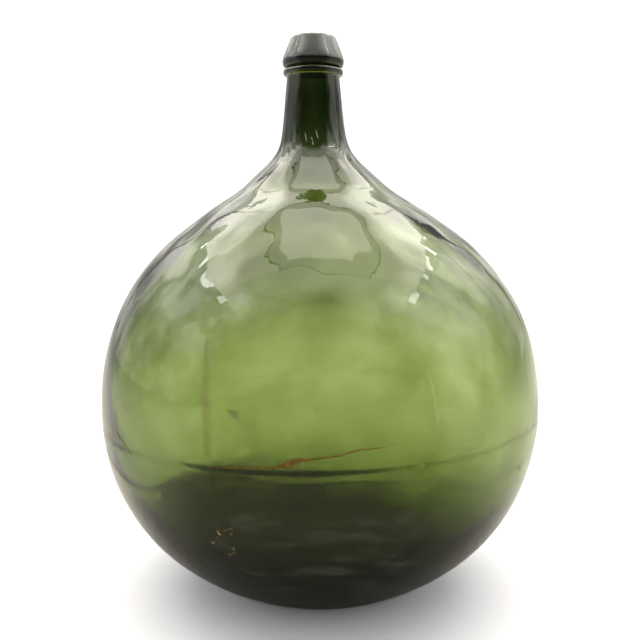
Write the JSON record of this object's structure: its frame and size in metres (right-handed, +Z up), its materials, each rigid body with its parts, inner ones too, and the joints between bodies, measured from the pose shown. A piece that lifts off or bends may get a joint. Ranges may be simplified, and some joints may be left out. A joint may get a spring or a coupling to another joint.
{
  "type": "glass carboy",
  "caption": "Round-bodied green glass carboy with a thick pushed-up base, a tapered neck and a banded lip, for fermenting and storing wine or cider.",
  "frame": {"origin": "middle of the standing ring, in the plane the carboy stands on", "axes": "+Z up along the body's axis; the neck leans a little towards -X; -Y faces the viewer"},
  "size_m": [0.492, 0.492, 0.62],
  "materials": {
    "vessel_glass": "clear olive-green blown glass, darker where it is thick",
    "band_glass": "thick dark green glass, fire polished"
  },
  "bodies": {
    "root": {"vessel": "vessel_glass", "lip_collar": "band_glass", "string_ring": "band_glass"}
  },
  "joints": []
}
